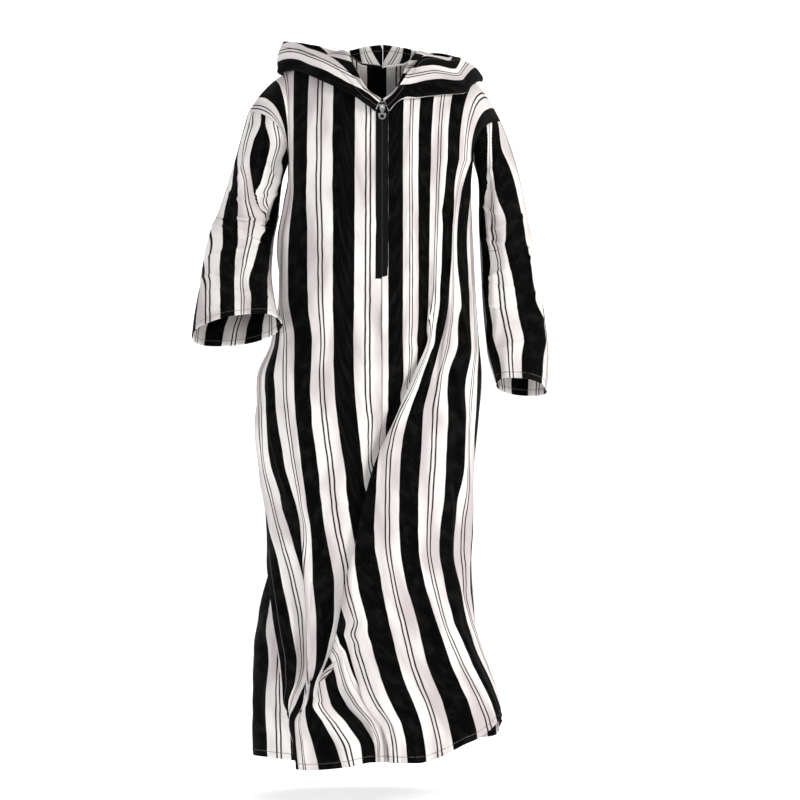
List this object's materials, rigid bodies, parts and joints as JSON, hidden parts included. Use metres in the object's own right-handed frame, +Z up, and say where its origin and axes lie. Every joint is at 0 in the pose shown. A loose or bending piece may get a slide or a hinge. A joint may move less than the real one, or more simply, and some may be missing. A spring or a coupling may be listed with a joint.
{
  "type": "hooded long robe",
  "caption": "Striped hooded long robe with a zip neck, long sleeves and side slits, hanging in its worn form with the hood down.",
  "frame": {"origin": "middle of the neck, level with the tops of the shoulders, where the wearer holds the robe up", "axes": "+Z up, +X to the wearer's left, -Y to the front"},
  "size_m": [0.7031, 0.4251, 1.4464],
  "materials": {
    "cloth": "matte",
    "tape": "matte",
    "zip_metal": "satin"
  },
  "bodies": {
    "garment": {"front_right": "cloth", "front_left": "cloth", "back": "cloth", "sleeve_right": "cloth", "sleeve_left": "cloth", "hood_right": "cloth", "hood_left": "cloth", "zip_tape": "tape", "zip_slider": "zip_metal"},
    "pull": {"zip_pull": "zip_metal"}
  },
  "joints": [
    {"name": "zip_pull_hinge", "type": "hinge", "parent": "garment", "child": "pull", "pos_m": [0, -0.14679, -0.08936], "axis": [1, 0, 0], "range_deg": [-95, 0]}
  ]
}
